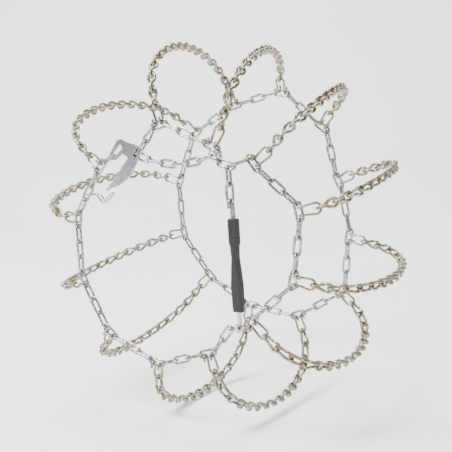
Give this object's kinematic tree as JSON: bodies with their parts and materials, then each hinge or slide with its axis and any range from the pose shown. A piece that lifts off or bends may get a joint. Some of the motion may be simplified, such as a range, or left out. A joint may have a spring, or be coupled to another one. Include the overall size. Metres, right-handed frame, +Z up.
{
  "type": "tyre snow chains",
  "caption": "Ladder-type snow chains for a small tractor tyre, tightened with a steel lever, a keeper ring and a rubber strap, in the shape they take on the tyre.",
  "frame": {"origin": "the centre of the wheel that the chains are fitted to: on the wheel's axis, halfway between the two side chains", "axes": "Y is the wheel's axis, with -Y pointing out of the wheel's outer face, where the lever and the rubber strap are; Z is up as the wheel stands; X is to the right seen from outside"},
  "size_m": [0.4852, 0.2567, 0.4843],
  "materials": {
    "side_steel": "bright zinc plate, slightly dulled",
    "cross_steel": "zinc plate with a yellow-brown tint",
    "bright_steel": "bright polished plate",
    "grey_steel": "dull grey plate",
    "strap_rubber": "moulded black rubber, satin"
  },
  "bodies": {
    "side_chains": {"inner_chain_a": "side_steel", "inner_chain_b": "side_steel", "inner_chain_c": "side_steel", "inner_chain_d": "side_steel", "inner_chain_e": "side_steel", "inner_chain_f": "side_steel", "inner_chain_g": "side_steel", "inner_chain_h": "side_steel", "inner_chain_i": "side_steel", "inner_chain_j": "side_steel", "inner_chain_k": "side_steel", "inner_chain_l": "side_steel", "outer_chain_a": "side_steel", "outer_chain_b": "side_steel", "outer_chain_c": "side_steel", "outer_chain_d": "side_steel", "outer_chain_e": "side_steel", "outer_chain_f": "side_steel", "outer_chain_g": "side_steel", "outer_chain_h": "side_steel", "outer_chain_i": "side_steel", "outer_chain_j": "side_steel", "outer_chain_k": "side_steel", "outer_chain_l": "side_steel", "inner_closing_link": "side_steel", "take_up_links": "side_steel", "tail_chain": "side_steel", "tail_clip": "bright_steel", "strap_links": "side_steel"},
    "cross_a": {"cross_chain_a": "cross_steel", "cross_hooks_a": "cross_steel"},
    "cross_b": {"cross_chain_b": "cross_steel", "cross_hooks_b": "cross_steel"},
    "cross_c": {"cross_chain_c": "cross_steel", "cross_hooks_c": "cross_steel"},
    "cross_d": {"cross_chain_d": "cross_steel", "cross_hooks_d": "cross_steel"},
    "cross_e": {"cross_chain_e": "cross_steel", "cross_hooks_e": "cross_steel"},
    "cross_f": {"cross_chain_f": "cross_steel", "cross_hooks_f": "cross_steel"},
    "cross_g": {"cross_chain_g": "cross_steel", "cross_hooks_g": "cross_steel"},
    "cross_h": {"cross_chain_h": "cross_steel", "cross_hooks_h": "cross_steel"},
    "cross_i": {"cross_chain_i": "cross_steel", "cross_hooks_i": "cross_steel"},
    "cross_j": {"cross_chain_j": "cross_steel", "cross_hooks_j": "cross_steel"},
    "cross_k": {"cross_chain_k": "cross_steel", "cross_hooks_k": "cross_steel"},
    "cross_l": {"cross_chain_l": "cross_steel", "cross_hooks_l": "cross_steel"},
    "lever": {"lever": "bright_steel"},
    "keeper": {"keeper": "bright_steel"},
    "strap": {"strap": "strap_rubber", "strap_top_hook": "grey_steel", "strap_bottom_hook": "bright_steel"}
  },
  "joints": [
    {"name": "cross_a_creep", "type": "hinge", "parent": "side_chains", "child": "cross_a", "pos_m": [-0.02242, -0.117, 0.13774], "axis": [-0.1245, 0.9878, 0.0931], "range_deg": [-3, 3]},
    {"name": "cross_b_creep", "type": "hinge", "parent": "side_chains", "child": "cross_b", "pos_m": [0.05453, -0.117, 0.11481], "axis": [-0.1171, 0.9581, 0.2614], "range_deg": [-3, 3]},
    {"name": "cross_c_creep", "type": "hinge", "parent": "side_chains", "child": "cross_c", "pos_m": [0.11191, -0.117, 0.09624], "axis": [-0.0901, 0.9845, 0.1503], "range_deg": [-3, 3]},
    {"name": "cross_d_creep", "type": "hinge", "parent": "side_chains", "child": "cross_d", "pos_m": [0.17067, -0.117, 0.04341], "axis": [-0.2187, 0.974, 0.0599], "range_deg": [-3, 3]},
    {"name": "cross_e_creep", "type": "hinge", "parent": "side_chains", "child": "cross_e", "pos_m": [0.16557, -0.117, -0.03673], "axis": [-0.1232, 0.9901, 0.068], "range_deg": [-3, 3]},
    {"name": "cross_f_creep", "type": "hinge", "parent": "side_chains", "child": "cross_f", "pos_m": [0.1112, -0.117, -0.09476], "axis": [0.0677, 0.9975, -0.021], "range_deg": [-3, 3]},
    {"name": "cross_g_creep", "type": "hinge", "parent": "side_chains", "child": "cross_g", "pos_m": [0.05107, -0.117, -0.14327], "axis": [0.037, 0.9993, -0.0014], "range_deg": [-3, 3]},
    {"name": "cross_h_creep", "type": "hinge", "parent": "side_chains", "child": "cross_h", "pos_m": [-0.02562, -0.117, -0.16614], "axis": [0.0231, 0.9926, 0.1191], "range_deg": [-3, 3]},
    {"name": "cross_i_creep", "type": "hinge", "parent": "side_chains", "child": "cross_i", "pos_m": [-0.1006, -0.117, -0.13716], "axis": [0.0352, 0.9883, 0.1486], "range_deg": [-3, 3]},
    {"name": "cross_j_creep", "type": "hinge", "parent": "side_chains", "child": "cross_j", "pos_m": [-0.14497, -0.117, -0.07026], "axis": [0.015, 0.9907, 0.1353], "range_deg": [-3, 3]},
    {"name": "cross_k_creep", "type": "hinge", "parent": "side_chains", "child": "cross_k", "pos_m": [-0.15279, -0.117, 0.00973], "axis": [0.017, 0.9906, 0.1357], "range_deg": [-3, 3]},
    {"name": "cross_l_creep", "type": "hinge", "parent": "side_chains", "child": "cross_l", "pos_m": [-0.11516, -0.117, 0.08066], "axis": [-0.019, 0.9883, 0.1514], "range_deg": [-3, 3]},
    {"name": "lever_lift", "type": "hinge", "parent": "side_chains", "child": "lever", "pos_m": [-0.04826, -0.1176, 0.10399], "axis": [-0.9723, -0.0566, -0.2268], "range_deg": [0, 5]},
    {"name": "keeper_swing", "type": "hinge", "parent": "side_chains", "child": "keeper", "pos_m": [-0.12917, -0.117, 0.04281], "axis": [0, 1, 0], "range_deg": [0, 40]},
    {"name": "strap_roll", "type": "hinge", "parent": "side_chains", "child": "strap", "pos_m": [0.08461, -0.1268, 0.04768], "axis": [0.0619, 0.0383, -0.9973], "range_deg": [-12, 12]}
  ]
}
